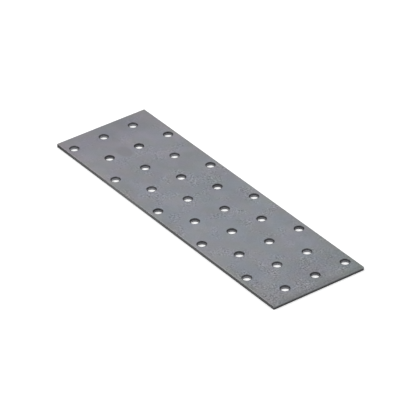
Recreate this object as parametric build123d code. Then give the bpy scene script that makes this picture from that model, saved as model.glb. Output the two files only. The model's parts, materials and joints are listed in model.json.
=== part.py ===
from build123d import *
import os

# Flat mending plate (nail plate) for joining timbers that lie in one plane.
# It is one piece of zinc-coated steel strip: the nail holes are punched first, from the upper
# face, and the strip is then sheared to size. Shearing rounds the upper outline a little, the
# punch draws each upper rim down into a small slope, and both leave the lower edges square.
# Frame: +X along the length, +Y across the width, +Z out of the punched face.
# The origin is the middle of the underside, the face that lies on the timber.

# Blank
length = 200.0
width = 60.0
thickness = 2.0
corner_radius = 0.4        # blunted corner of the sheared outline, seen from above
edge_roll = 0.3            # round that the shear leaves along the upper outline

# Nail holes: rows run along the length, and every second row is shifted by half its pitch
hole_diameter = 5.0
rim_slope = 0.4            # width and depth of the slope that the punch leaves at each upper rim
row_pitch = 10.0           # from one row to the next, across the width
hole_pitch = 40.0          # from one hole to the next, along a row
side_margin = 5.0          # least distance from a hole's centre to a long edge
end_margin = 10.0          # least distance from a hole's centre to a short edge

# The pattern fills the blank and is centred on it
column_pitch = hole_pitch / 2
slack = 1e-6               # keeps an exact fit from being rounded down
rows = 1 + int((width - 2 * side_margin) / row_pitch + slack)
columns = 1 + int((length - 2 * end_margin) / column_pitch + slack)


def hole_centres():
    """Centres of the staggered holes: a column is used by every second row."""
    first_x = -(columns - 1) * column_pitch / 2
    first_y = -(rows - 1) * row_pitch / 2
    return [
        (first_x + column * column_pitch, first_y + row * row_pitch)
        for row in range(rows)
        for column in range(row % 2, columns, 2)
    ]


def make_blank():
    """The sheared blank, square below and rolled along its upper outline."""
    with BuildPart() as blank:
        with BuildSketch():
            RectangleRounded(length, width, corner_radius)
        extrude(amount=thickness)
        upper_outline = blank.faces().sort_by(Axis.Z)[-1].outer_wire().edges()
        fillet(upper_outline, edge_roll)
    return blank.part


def punch_holes(blank):
    """The blank with every nail hole punched through it, and its upper rims drawn down."""
    with BuildPart() as plate:
        add(blank)
        with BuildSketch(Plane.XY.offset(thickness)):
            with Locations(*hole_centres()):
                Circle(hole_diameter / 2)
        extrude(amount=-thickness, mode=Mode.SUBTRACT)
        upper_face = plate.faces().sort_by(Axis.Z)[-1]
        upper_rims = [edge for wire in upper_face.inner_wires() for edge in wire.edges()]
        chamfer(upper_rims, rim_slope)
    return plate.part


mending_plate = punch_holes(make_blank())
mending_plate.label = "mending_plate"

os.makedirs("parts", exist_ok=True)
export_step(mending_plate, "parts/mending_plate.step")
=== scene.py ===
import json
import math
import random

import bmesh
import bpy
from mathutils import Euler, Matrix, Vector, noise


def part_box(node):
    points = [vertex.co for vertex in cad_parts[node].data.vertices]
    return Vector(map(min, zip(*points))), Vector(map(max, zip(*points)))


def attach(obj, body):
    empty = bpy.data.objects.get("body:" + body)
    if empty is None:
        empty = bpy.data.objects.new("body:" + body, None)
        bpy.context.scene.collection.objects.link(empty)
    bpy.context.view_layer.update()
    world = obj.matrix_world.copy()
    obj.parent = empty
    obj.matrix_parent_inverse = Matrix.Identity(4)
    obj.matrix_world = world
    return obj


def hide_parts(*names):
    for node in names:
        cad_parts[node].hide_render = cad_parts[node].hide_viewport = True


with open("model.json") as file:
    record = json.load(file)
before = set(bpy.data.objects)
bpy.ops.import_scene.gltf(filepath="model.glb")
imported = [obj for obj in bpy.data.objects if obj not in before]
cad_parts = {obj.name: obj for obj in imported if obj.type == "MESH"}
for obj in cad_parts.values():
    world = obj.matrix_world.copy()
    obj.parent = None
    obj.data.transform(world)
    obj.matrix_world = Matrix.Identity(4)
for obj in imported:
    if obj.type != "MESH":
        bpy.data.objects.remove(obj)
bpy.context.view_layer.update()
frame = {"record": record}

# ---- Mending plate --------------------------------------------------------------------------
# One flat piece of zinc-coated steel strip. A press punches the staggered nail holes from the
# upper face, which draws each rim down and tears the lower half of the wall. A shear then cuts
# the strip to its outline, with the same rolled, smooth and torn bands.
mm = 0.001
low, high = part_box("mending_plate")
length, width, thickness = high - low
nail_holes = [mount for mount in frame["record"]["mounts"] if mount["kind"] == "bore"]
hole_centres = {(round(mount["pos_m"][0], 6), round(mount["pos_m"][1], 6)) for mount in nail_holes}
hole_columns = sorted({x for x, y in hole_centres})
hole_rows = sorted({y for x, y in hole_centres})
cell_length = hole_columns[1] - hole_columns[0]
cell_width = hole_rows[1] - hole_rows[0]

spring_back = 0.10 * mm       # the punched wall closes this much inside its nominal size
hole_radius = nail_holes[0]["dims"]["r_mm"] * mm - spring_back
rim_roll = 0.55 * mm          # round at each upper rim
rim_dish = 0.03 * mm          # depth of the shallow dish around each upper rim
dish_reach = 1.1 * mm         # how far the dish reaches from the hole's wall
outline_roll = 0.3 * mm       # round along the upper outline
corner_radius = 0.4 * mm      # blunted corner of the outline
smooth_band_foot = 1.05 * mm  # height at which the smooth half of a cut ends and the torn half starts
torn_roughness = 0.02 * mm    # unevenness of the torn half
tear_size = 0.7 * mm          # length of one unevenness
tear_growth = 3               # how fast the unevenness grows below the smooth half
rim_shade_reach = 0.04 * mm       # how far the painted rim shade reaches past the round of a rim
rim_shade_fade = 0.3 * rim_roll   # and over what length it fades out there
darkest_hole = 0.74           # lowest tone of a hole's wall and of its painted rim shade
lightest_hole = 1.22          # and the highest
tone_seed = 145               # picks which hole gets which tone

mesh_step = 1.0 * mm          # spacing of the mesh on the flat faces
side_margin = 1 * mesh_step   # flat mesh kept between a hole's rings and the long sides of its cell
end_margin = 4 * mesh_step    # and between the rings and the short sides
dish_shares = (1.0, 0.66, 0.33, 0.0)    # mesh rings in the dish, as shares of its width
roll_rings = 6                          # mesh rings in the round of a rim
foot_ring = 0.5 * mm                    # how far a ring on the underside lies from the hole's wall
hole_levels = (1.25, 1.05, 0.8, 0.6, 0.4, 0.2, 0.0)    # heights of the rings in a hole's wall, in mm
outline_levels = (1.25, 1.05, 0.7, 0.35, 0.1)          # and of the lines along the sheared wall
weld = 0.001 * mm             # points closer than this are one point
near = 0.01 * mm              # lengths closer than this are the same
tall = 0.9 * thickness        # an edge longer than this runs up the whole wall
upright = 0.1                 # the normal of an upright face rises less than this
steep = 0.5                   # that of a cut wall, bands and all, less than this
bared = 0.75                  # and that of any face whose steel is bared, less than this
crease = math.radians(40)     # edges sharper than this stay sharp in the shading


def hole_profile():
    """The section of a punched hole, from its lower surroundings up to the upper ones."""
    dish = []
    for share in dish_shares:
        reach = rim_roll + (dish_reach - rim_roll) * share
        dish.append((hole_radius + reach, thickness - rim_dish * (1 - share) ** 2))
    roll = []
    for ring in range(1, roll_rings + 1):
        angle = math.radians(90 * ring / roll_rings)
        drop = rim_dish + rim_roll * (1 - math.cos(angle))
        roll.append((hole_radius + rim_roll * (1 - math.sin(angle)), thickness - drop))
    wall = [(hole_radius, level * mm) for level in hole_levels]
    underside = [(hole_radius + foot_ring, 0.0), (hole_radius + dish_reach, 0.0)]
    return reversed(dish + roll + wall + underside)


def flat_patch(mesh, height):
    """A cell's flat rectangle, divided into mesh steps: facing up, or down if it is the underside."""
    facing = 1 if height > 0 else -1
    turned = Matrix.Diagonal((cell_length, facing * cell_width, facing, 1))
    bmesh.ops.create_grid(
        mesh, x_segments=round(cell_length / mesh_step), y_segments=round(cell_width / mesh_step),
        size=0.5, matrix=Matrix.Translation((0, 0, height)) @ turned)


def plain_cell():
    """A cell of the strip with no hole: its upper and lower faces."""
    cell = bmesh.new()
    flat_patch(cell, thickness)
    flat_patch(cell, 0.0)
    return cell


def in_middle(point, spare=0.0):
    """True in the middle of a cell, where a hole's rings take the place of the flat mesh."""
    return (abs(point.x) < cell_length / 2 - end_margin + spare
            and abs(point.y) < cell_width / 2 - side_margin + spare)


def punched_cell():
    """A cell of the strip with a nail hole punched through its middle."""
    cell = plain_cell()
    middle = [face for face in cell.faces if in_middle(face.calc_center_median())]
    bmesh.ops.delete(cell, geom=middle, context="FACES")
    opening = [
        edge for edge in cell.edges
        if edge.is_boundary and all(in_middle(vert.co, spare=mesh_step / 2) for vert in edge.verts)]
    points = [cell.verts.new((radius, 0, height)) for radius, height in hole_profile()]
    path = [cell.edges.new(pair) for pair in zip(points, points[1:])]
    bmesh.ops.spin(
        cell, geom=points + path, cent=(0, 0, 0), axis=(0, 0, 1), angle=2 * math.pi,
        steps=len(opening) // 2, use_merge=True)
    bmesh.ops.remove_doubles(cell, verts=cell.verts, dist=weld)
    outermost = hole_radius + dish_reach + near
    rings = [
        edge for edge in cell.edges
        if edge.is_boundary and all(vert.co.xy.length < outermost for vert in edge.verts)]
    for height in (thickness, 0.0):
        loops = [edge for edge in opening + rings if abs(edge.verts[0].co.z - height) < near]
        bmesh.ops.bridge_loops(cell, edges=loops)
    return cell


def lay_out_strip():
    """All the cells side by side, welded, and closed by a wall along the outline."""
    patterns = {}
    for kind, cell in (("punched", punched_cell()), ("plain", plain_cell())):
        patterns[kind] = bpy.data.meshes.new(kind)
        cell.to_mesh(patterns[kind])
        cell.free()
    strip = bmesh.new()
    for x in hole_columns:
        for y in hole_rows:
            before = len(strip.verts)
            strip.from_mesh(patterns["punched" if (x, y) in hole_centres else "plain"])
            strip.verts.ensure_lookup_table()
            bmesh.ops.translate(strip, verts=strip.verts[before:], vec=(x, y, 0))
    for pattern in patterns.values():
        bpy.data.meshes.remove(pattern)
    bmesh.ops.remove_doubles(strip, verts=strip.verts, dist=weld)
    bmesh.ops.bridge_loops(strip, edges=[edge for edge in strip.edges if edge.is_boundary])
    bmesh.ops.recalc_face_normals(strip, faces=strip.faces)
    return strip


def is_corner(edge):
    """True for the upright edge at a corner of the outline."""
    first, second = edge.verts
    return (abs(first.co.z - second.co.z) > tall
            and abs(abs(first.co.x) - length / 2) < near
            and abs(abs(first.co.y) - width / 2) < near)


def is_outline_wall(face):
    """True for an upright face of the sheared wall, and false for one of a hole's wall."""
    centre = face.calc_center_median()
    reach = max(corner_radius, outline_roll)
    at_outline = abs(centre.x) > length / 2 - reach or abs(centre.y) > width / 2 - reach
    return at_outline and abs(face.normal.z) < upright


def is_upper_edge(edge):
    """True for an edge between the sheared wall and the upper face."""
    return (min(vert.co.z for vert in edge.verts) > tall
            and any(is_outline_wall(face) for face in edge.link_faces))


def shear_outline(plate):
    """Blunts the corners, rolls the upper outline and divides the wall into its bands."""
    bmesh.ops.bevel(
        plate, geom=[edge for edge in plate.edges if is_corner(edge)], offset=corner_radius,
        segments=3, profile=0.5, affect="EDGES", material=-1)
    bmesh.ops.bevel(
        plate, geom=[edge for edge in plate.edges if is_upper_edge(edge)], offset=outline_roll,
        segments=4, profile=0.5, affect="EDGES", material=-1)
    for level in outline_levels:
        height = level * mm
        walls = [
            face for face in plate.faces
            if is_outline_wall(face)
            and min(vert.co.z for vert in face.verts) < height - near
            and max(vert.co.z for vert in face.verts) > height + near]
        edges = [edge for face in walls for edge in face.edges]
        verts = [vert for face in walls for vert in face.verts]
        each_once = list(dict.fromkeys(walls + edges + verts))
        bmesh.ops.bisect_plane(plate, geom=each_once, plane_co=(0, 0, height), plane_no=(0, 0, 1))


def tear_cuts(plate):
    """Makes the torn half of every cut uneven, less so just below the smooth half."""
    plate.normal_update()
    moves = {}
    for vert in plate.verts:
        walls = [face for face in vert.link_faces if abs(face.normal.z) < steep]
        if not walls or vert.co.z > smooth_band_foot - near:
            continue
        outward = sum((face.normal for face in walls), Vector())
        outward.z = 0
        outward.normalize()
        depth = 1 - vert.co.z / smooth_band_foot
        uneven = abs(noise.noise(vert.co / tear_size)) * torn_roughness * min(1, tear_growth * depth)
        moves[vert] = outward * -uneven
    for vert, move in moves.items():
        vert.co += move


def mark_edges(plate):
    """Stores three values on each point of a punched cell: its share in the painted rim shade, whether it
    lies in the hole's wall, and the tone of the hole."""
    rim_shade = plate.verts.layers.float.new("rim_shade")
    punched_wall = plate.verts.layers.float.new("punched_wall")
    hole_tone = plate.verts.layers.float.new("hole_tone")
    draws = random.Random(tone_seed)
    tones = {centre: draws.uniform(darkest_hole, lightest_hole) for centre in sorted(hole_centres)}
    for vert in plate.verts:
        column = min(hole_columns, key=lambda x: abs(x - vert.co.x))
        row = min(hole_rows, key=lambda y: abs(y - vert.co.y))
        if (column, row) not in hole_centres:
            continue
        vert[hole_tone] = tones[(column, row)]
        reach = math.hypot(vert.co.x - column, vert.co.y - row) - hole_radius
        vert[punched_wall] = 1.0 if reach < rim_roll + near else 0.0
        if vert.co.z > thickness / 2:
            # painted rim shade: full over most of the rim's round, fading out just past it
            vert[rim_shade] = max(0, min(1, (rim_roll + rim_shade_reach - reach) / rim_shade_fade))


strip = lay_out_strip()
shear_outline(strip)
tear_cuts(strip)
mark_edges(strip)
for vert in strip.verts:
    vert.co = [max(low[axis], min(high[axis], vert.co[axis])) for axis in range(3)]
bmesh.ops.recalc_face_normals(strip, faces=strip.faces)
for face in strip.faces:
    face.smooth = True
    face.material_index = 1 if abs(face.normal.z) < bared else 0
for edge in strip.edges:
    edge.smooth = edge.calc_face_angle(0) < crease
plate_mesh = bpy.data.meshes.new("galvanised_plate")
strip.to_mesh(plate_mesh)
strip.free()
plate = bpy.data.objects.new("galvanised_plate", plate_mesh)
bpy.context.collection.objects.link(plate)

# The strip is hot-dip coated with zinc before it is punched: a dull blue-grey skin with faint
# crystals, cloudy tints and a fine grain. The punch and the shear bare darker steel, smooth in
# the upper half of each cut and torn in the lower half.


def add_node(tree, kind, inputs=None, **settings):
    """Adds a node, sets its options, and fills or links its inputs."""
    node = tree.nodes.new(kind)
    for name, value in settings.items():
        setattr(node, name, value)
    for name, value in (inputs or {}).items():
        if isinstance(value, bpy.types.NodeSocket):
            tree.links.new(value, node.inputs[name])
        else:
            node.inputs[name].default_value = value
    return node


def calculate(tree, operation, *values):
    """Adds an arithmetic node and returns its result."""
    return add_node(tree, "ShaderNodeMath", dict(enumerate(values)), operation=operation).outputs[0]


def multiply(tree, first, *others):
    """Adds the nodes that multiply all the values, and returns the product."""
    product = first
    for value in others:
        product = calculate(tree, "MULTIPLY", product, value)
    return product


def ramp(tree, value, start, end, at_start=0.0, at_end=1.0):
    """Turns a value's way from start to end into a smooth change of another value, level outside it."""
    return add_node(tree, "ShaderNodeMapRange", {
        "Value": value, "From Min": start, "From Max": end, "To Min": at_start, "To Max": at_end},
        interpolation_type="SMOOTHSTEP").outputs[0]


def by_mask(tree, mask, outside, inside):
    """Turns a mask into a value: one where the mask is 0, and another where it is 1."""
    return ramp(tree, mask, 0.0, 1.0, outside, inside)


def fade(tree, distance, reach, strength):
    """A factor that comes to its strength at an edge of the plate, and is 1 from its reach on."""
    return ramp(tree, distance, reach, 0.0, 1.0, strength)


def mix_colours(tree, share, first, second):
    """Mixes two colours by a share."""
    node = add_node(tree, "ShaderNodeMix", {0: share}, data_type="RGBA")
    for socket, value in ((node.inputs[6], first), (node.inputs[7], second)):
        if isinstance(value, bpy.types.NodeSocket):
            tree.links.new(value, socket)
        else:
            socket.default_value = (*value, 1)
    return node.outputs[2]


def shade(tree, colour, tone):
    """Lightens or darkens a colour by a tone around 1."""
    return add_node(tree, "ShaderNodeVectorMath", {0: colour, "Scale": tone}, operation="SCALE").outputs[0]


def stored(tree, name):
    """A value that mark_edges stored on the points of the plate."""
    return add_node(tree, "ShaderNodeAttribute", attribute_name=name).outputs["Fac"]


def new_material(name):
    """A material, its node tree and its shader node."""
    material = bpy.data.materials.new(name)
    material.use_nodes = True
    return material, material.node_tree, material.node_tree.nodes["Principled BSDF"]


def new_pattern(name, outputs):
    """A pattern's node group, which takes a position and a size, and the nodes for its two ends."""
    group = bpy.data.node_groups.new(name, "ShaderNodeTree")
    group.interface.new_socket("Position", in_out="INPUT", socket_type="NodeSocketVector")
    group.interface.new_socket("Size", in_out="INPUT", socket_type="NodeSocketFloat")
    for socket_name in outputs:
        group.interface.new_socket(socket_name, in_out="OUTPUT", socket_type="NodeSocketFloat")
    return group, group.nodes.new("NodeGroupInput"), group.nodes.new("NodeGroupOutput")


# grain: the fine unevenness of a metal surface, and specks in it that stand wider apart
speck_spread = 0.6            # the specks' pattern is laid out at this share of the grain's scale
grain_group, given, result = new_pattern("metal_grain", ["Grain", "Specks"])
scale = calculate(grain_group, "DIVIDE", 1.0, given.outputs["Size"])
speck_scale = calculate(grain_group, "MULTIPLY", scale, speck_spread)
fine = add_node(grain_group, "ShaderNodeTexNoise", {
    "Vector": given.outputs["Position"], "Scale": scale, "Detail": 3.0, "Roughness": 0.65})
coarse = add_node(grain_group, "ShaderNodeTexNoise", {
    "Vector": given.outputs["Position"], "Scale": speck_scale, "Detail": 1.0})
grain_group.links.new(ramp(grain_group, fine.outputs[0], 0.2, 0.8), result.inputs["Grain"])
grain_group.links.new(ramp(grain_group, coarse.outputs[0], 0.62, 0.74), result.inputs["Specks"])

# clouds: soft patches of one size
cloud_group, given, result = new_pattern("soft_clouds", ["Cloud"])
scale = calculate(cloud_group, "DIVIDE", 1.0, given.outputs["Size"])
cloud = add_node(cloud_group, "ShaderNodeTexNoise", {
    "Vector": given.outputs["Position"], "Scale": scale, "Detail": 2.0, "Roughness": 0.45})
cloud_group.links.new(ramp(cloud_group, cloud.outputs[0], 0.28, 0.72), result.inputs["Cloud"])


def pattern(tree, group, position, size, output):
    """One output of a pattern group, laid out at a position with features of one size."""
    node = tree.nodes.new("ShaderNodeGroup")
    node.node_tree = group
    tree.links.new(position, node.inputs["Position"])
    node.inputs["Size"].default_value = size
    return node.outputs[output]


def shifted(tree, position, x, y):
    """The position moved along the plate, so that two patterns of one group don't coincide."""
    return add_node(tree, "ShaderNodeMapping", {"Vector": position, "Location": (x, y, 0.0)}).outputs[0]


def clouds(tree, position, x, y, size):
    """Soft patches of one size, taken from their own part of the endless pattern."""
    return pattern(tree, cloud_group, shifted(tree, position, x, y), size, "Cloud")


# zinc coating: the colour of a clean face, and where a point lies, with the plate's length running
# from left to right
zinc_grey = (0.3705, 0.3855, 0.4185)
zinc, tree, shader = new_material("zinc_coating")
position = add_node(tree, "ShaderNodeTexCoord").outputs["Object"]
place = add_node(tree, "ShaderNodeSeparateXYZ", {"Vector": position})
along, across = place.outputs["X"], place.outputs["Y"]
from_left = calculate(tree, "ADD", along, length / 2)
from_right = calculate(tree, "SUBTRACT", length / 2, along)
from_end = calculate(tree, "MINIMUM", from_left, from_right)
from_side = calculate(tree, "SUBTRACT", width / 2, calculate(tree, "ABSOLUTE", across))

# the two faces: heights are stretched below the upper face, so that the underside has its own patterns
face_stretch = 8.0
on_face = add_node(tree, "ShaderNodeMapping", {
    "Vector": position, "Location": (0.0, 0.0, (1.0 - face_stretch) * high.z),
    "Scale": (1.0, 1.0, face_stretch)}).outputs[0]

# tints: faint clouds of violet and blue, more violet at the left end, less blue along the border, and
# one greenish corner
red_in_blue = 0.35            # how much the blue clouds follow the red ones, which turns them violet
red_cloud = clouds(tree, on_face, x=1.24, y=0.07, size=11.0 * mm)
blue_cloud = clouds(tree, on_face, x=0.03, y=1.78, size=9.0 * mm)
blue_cloud = calculate(tree, "MULTIPLY_ADD", red_cloud, red_in_blue, blue_cloud)
green_corner = multiply(tree, ramp(tree, from_right, 0.18 * length, 0.08 * length),
                        ramp(tree, across, 0.2 * width, 0.42 * width))
red = multiply(tree, by_mask(tree, red_cloud, 0.968, 1.032),
               fade(tree, from_left, reach=0.5 * length, strength=1.055),
               fade(tree, from_right, reach=0.4 * length, strength=1.014),
               fade(tree, from_side, reach=8.0 * mm, strength=1.025),
               by_mask(tree, green_corner, 1.0, 0.955))
blue = multiply(tree, ramp(tree, blue_cloud, 0.0, 1.0 + red_in_blue, 0.958, 1.042),
                fade(tree, from_left, reach=0.2 * length, strength=1.035),
                fade(tree, from_end, reach=8.0 * mm, strength=0.945),
                fade(tree, from_side, reach=5.5 * mm, strength=0.945),
                by_mask(tree, green_corner, 1.0, 0.96))
tint = add_node(tree, "ShaderNodeCombineXYZ", {"X": red, "Y": 1.0, "Z": blue}).outputs[0]
colour = add_node(tree, "ShaderNodeVectorMath", {0: tint, 1: zinc_grey}, operation="MULTIPLY").outputs[0]

# tones: soft clouds, faint crystals, a narrow darker strip at the right end, and painted shade: darker
# towards both ends and a little darker on the far side
crystal_size = 6.0 * mm
tone_cloud = clouds(tree, on_face, x=1.64, y=-1.87, size=22.0 * mm)
crystals = add_node(tree, "ShaderNodeTexVoronoi", {"Vector": on_face, "Scale": 1 / crystal_size})
crystal = add_node(tree, "ShaderNodeSeparateXYZ", {"Vector": crystals.outputs["Color"]}).outputs["X"]
tone = multiply(tree, by_mask(tree, tone_cloud, 0.945, 1.06),
                by_mask(tree, crystal, 0.975, 1.025),
                # painted shade for the way the light falls over the face, with the darker strip at the right
                # end
                ramp(tree, along, 0.15 * length, 0.55 * length, 1.01, 0.90),
                ramp(tree, from_left, 0.12 * length, 0.03 * length, 1.0, 0.925),
                fade(tree, from_right, reach=3.5 * mm, strength=0.82),
                ramp(tree, across, -width / 2, width / 2, 1.014, 0.988))

# grain: rougher in patches and at the right end, finer at the left end, with light flecks and dark pits
grain_size = 1.05 * mm
grain_strength = 0.35
fleck_size = 1.0 * mm
fleck_strength = 0.05
patches = clouds(tree, on_face, x=0.32, y=0.38, size=10.0 * mm)
coarseness = multiply(tree, ramp(tree, patches, 0.4, 1.0, 0.3, 3.0),
                      ramp(tree, from_left, 0.1 * length, 0.4 * length, 0.4, 1.0))
rough_end = ramp(tree, from_right, 0.2 * length, 0.08 * length, 0.0, 0.9)
coarseness = calculate(tree, "ADD", coarseness, rough_end)
grain = pattern(tree, grain_group, position, grain_size, "Grain")
flecks = pattern(tree, grain_group, position, fleck_size, "Specks")
pits = pattern(tree, grain_group, shifted(tree, position, x=0.31, y=0.17), fleck_size, "Specks")
unevenness = multiply(tree, calculate(tree, "SUBTRACT", grain, 0.5), grain_strength)
specks = calculate(tree, "SUBTRACT", flecks, pits)
unevenness = calculate(tree, "MULTIPLY_ADD", specks, fleck_strength, unevenness)
grain_tone = calculate(tree, "MULTIPLY_ADD", unevenness, coarseness, 1.0)
colour = shade(tree, colour, multiply(tree, tone, grain_tone))

# one faint dark stain, on the upper face only
stain_centre = (-70.0 * mm, -4.75 * mm, high.z)
stain_radii = (6.2 * mm, 4.2 * mm, 1.0 * mm)
stain_colour = (0.345, 0.330, 0.365)
stain_cover = 0.65
in_stain = add_node(tree, "ShaderNodeMapping", {
    "Vector": position, "Location": stain_centre, "Scale": stain_radii}, vector_type="TEXTURE").outputs[0]
from_stain = add_node(tree, "ShaderNodeVectorMath", {0: in_stain}, operation="LENGTH").outputs["Value"]
stain = ramp(tree, from_stain, 1.15, 0.75, 0.0, stain_cover)
colour = mix_colours(tree, stain, colour, stain_colour)

# rim shade: painted shade, a dark band over the round of each hole's upper rim, in the hole's tone
rim_shade_grey = (0.07, 0.07, 0.074)
rim_shade_cover = 0.92
rim_shade_colour = shade(tree, rim_shade_grey, stored(tree, "hole_tone"))
in_rim_shade = multiply(tree, stored(tree, "rim_shade"), rim_shade_cover)
colour = mix_colours(tree, in_rim_shade, colour, rim_shade_colour)
tree.links.new(colour, shader.inputs["Base Color"])
tree.links.new(by_mask(tree, tone_cloud, 0.46, 0.54), shader.inputs["Roughness"])
shader.inputs["Metallic"].default_value = 1.0
bump = add_node(tree, "ShaderNodeBump", {"Strength": 0.25, "Distance": 0.02 * mm, "Height": grain})
tree.links.new(bump.outputs[0], shader.inputs["Normal"])

# cut steel: the colours of its smooth and torn halves, which blend, and painted shade at the very foot
smooth_shear = (0.085, 0.085, 0.087)
torn_shear = (0.115, 0.115, 0.118)
smooth_punch = (0.083, 0.083, 0.092)
# the torn half of a hole's wall is lighter than the sheared one: partly its own matte steel, partly painted
# light from the white table under the hole
torn_punch_and_floor_light = (0.297, 0.302, 0.322)
cut, tree, shader = new_material("cut_steel")
position = add_node(tree, "ShaderNodeTexCoord").outputs["Object"]
place = add_node(tree, "ShaderNodeSeparateXYZ", {"Vector": position})
along, height = place.outputs["X"], place.outputs["Z"]
from_left = calculate(tree, "ADD", along, length / 2)
from_right = calculate(tree, "SUBTRACT", length / 2, along)
from_end = calculate(tree, "MINIMUM", from_left, from_right)
torn = ramp(tree, height, smooth_band_foot + 0.2 * mm, smooth_band_foot - 0.3 * mm)
foot_contact_shade = ramp(tree, height, 0.6 * mm, 0.1 * mm)

# sheared walls: darkest at the left end, which is painted shade, a little darker to the right, and
# lighter in one stretch
lighter_stretch_middle = -0.16 * length
from_lighter_stretch = calculate(tree, "ABSOLUTE", calculate(tree, "SUBTRACT", along, lighter_stretch_middle))
# painted shade over the wall at the left end
wall_tone = multiply(tree, fade(tree, from_left, reach=0.1 * length, strength=0.45),
                     ramp(tree, from_lighter_stretch, 0.16 * length, 0.03 * length, 1.0, 1.4),
                     ramp(tree, from_right, 0.35 * length, 0.15 * length, 1.0, 0.85))
shear_colour = shade(tree, mix_colours(tree, torn, smooth_shear, torn_shear), wall_tone)

# the end walls have zinc smeared over their upper part, and painted shade darkens their foot
smeared_zinc = (0.215, 0.224, 0.236)
end_wall = ramp(tree, from_end, 0.5 * mm, 0.2 * mm)
smear = multiply(tree, end_wall, ramp(tree, height, 1.0 * mm, 1.8 * mm))
shear_colour = mix_colours(tree, smear, shear_colour, smeared_zinc)
# painted shade on the lower part of each end wall
end_foot_shade = multiply(tree, end_wall, ramp(tree, height, 1.1 * mm, 0.6 * mm))
shear_colour = shade(tree, shear_colour, by_mask(tree, end_foot_shade, 1.0, 0.65))

# hole walls have a tone for each hole; drag lines run up every smooth half, and torn halves are grainy
drag_squeeze = 0.06           # heights are squeezed to this share, which draws the grain out upwards
drag_width = 0.25 * mm
tear_grain_size = 0.3 * mm
punch_colour = shade(tree, mix_colours(tree, torn, smooth_punch, torn_punch_and_floor_light), stored(tree, "hole_tone"))
colour = mix_colours(tree, stored(tree, "punched_wall"), shear_colour, punch_colour)
# painted shade darkens the foot of every wall, where it stands on the table
colour = shade(tree, colour, by_mask(tree, foot_contact_shade, 1.0, 0.5))
drag = add_node(tree, "ShaderNodeMapping", {"Vector": position, "Scale": (1.0, 1.0, drag_squeeze)}).outputs[0]
drag_lines = pattern(tree, grain_group, drag, drag_width, "Grain")
tear_grain = pattern(tree, grain_group, position, tear_grain_size, "Grain")
relief = add_node(tree, "ShaderNodeMix", {0: torn, 2: drag_lines, 3: tear_grain}).outputs[0]
colour = shade(tree, colour, by_mask(tree, relief, 0.8, 1.2))
tree.links.new(colour, shader.inputs["Base Color"])
tree.links.new(by_mask(tree, torn, 0.45, 0.6), shader.inputs["Roughness"])
shader.inputs["Metallic"].default_value = 1.0
bump = add_node(tree, "ShaderNodeBump", {"Strength": 0.6, "Distance": 0.04 * mm, "Height": relief})
tree.links.new(bump.outputs[0], shader.inputs["Normal"])

plate.data.materials.append(zinc)
plate.data.materials.append(cut)
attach(plate, "root")
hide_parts("mending_plate")

# ---- Studio ---------------------------------------------------------------------------------
# A plain white table in a room of even, slightly cool light. The table glows a little of its own,
# so it stays white in the plate's shadow. Three square softboxes hang over it: one beyond the
# plate, and one at each side of the camera's line of sight.
floor_size = 6.0
floor_gap = 0.02 * mm
floor_build = bmesh.new()
bmesh.ops.create_grid(floor_build, x_segments=1, y_segments=1, size=floor_size / 2,
                      matrix=Matrix.Translation((0, 0, low.z - floor_gap)))
floor_mesh = bpy.data.meshes.new("studio_floor")
floor_build.to_mesh(floor_mesh)
floor_build.free()
floor = bpy.data.objects.new("studio_floor", floor_mesh)
bpy.context.collection.objects.link(floor)
floor_material, tree, floor_shader = new_material("white_table")
floor_shader.inputs["Base Color"].default_value = (0.9, 0.9, 0.9, 1)
floor_shader.inputs["Roughness"].default_value = 0.9
floor_shader.inputs["Specular IOR Level"].default_value = 0.0
floor_shader.inputs["Emission Color"].default_value = (1, 1, 1, 1)
floor_shader.inputs["Emission Strength"].default_value = 0.42
floor.data.materials.append(floor_material)

world = bpy.data.worlds.new("soft_room")
world.use_nodes = True
world.node_tree.nodes["Background"].inputs["Color"].default_value = (0.97, 0.985, 1.0, 1)
world.node_tree.nodes["Background"].inputs["Strength"].default_value = 0.40
bpy.context.scene.world = world


def add_softbox(name, place, size, watts):
    """A square area light at a place, facing the middle of the plate."""
    light = bpy.data.lights.new(name, "AREA")
    light.shape = "SQUARE"
    light.size = size
    light.energy = watts
    lamp = bpy.data.objects.new(name, light)
    lamp.location = place
    lamp.rotation_euler = (-Vector(place)).to_track_quat("-Z", "Y").to_euler()
    lamp.visible_camera = False
    bpy.context.collection.objects.link(lamp)


add_softbox("back_softbox", place=(-0.8, 0.6, 1.2), size=1.0, watts=2.0)
add_softbox("left_softbox", place=(-0.585, -0.811, 1.1), size=0.8, watts=8.5)
add_softbox("right_softbox", place=(0.585, 0.811, 1.1), size=0.8, watts=5.0)

# ---- Camera ---------------------------------------------------------------------------------
# A long lens, about two metres off. It looks down on the plate over its near right-hand corner,
# and is rolled by about a degree.
azimuth = math.radians(54.207)
elevation = math.radians(33.481)
roll = math.radians(-1.102)
distance = 1.8753
focal_length = 295.89
sensor_width = 36
aim_right = 2.036 * mm
aim_up = -1.828 * mm

camera_data = bpy.data.cameras.new("camera")
camera_data.sensor_width = sensor_width
camera_data.lens = focal_length
camera = bpy.data.objects.new("camera", camera_data)
turn = Euler((math.pi / 2 - elevation, 0, azimuth)).to_matrix() @ Matrix.Rotation(roll, 3, "Z")
aim = turn @ Vector((aim_right, aim_up, 0))
camera.matrix_world = Matrix.Translation(aim + turn @ Vector((0, 0, distance))) @ turn.to_4x4()
bpy.context.collection.objects.link(camera)
bpy.context.scene.camera = camera
bpy.context.scene.view_settings.view_transform = "Standard"
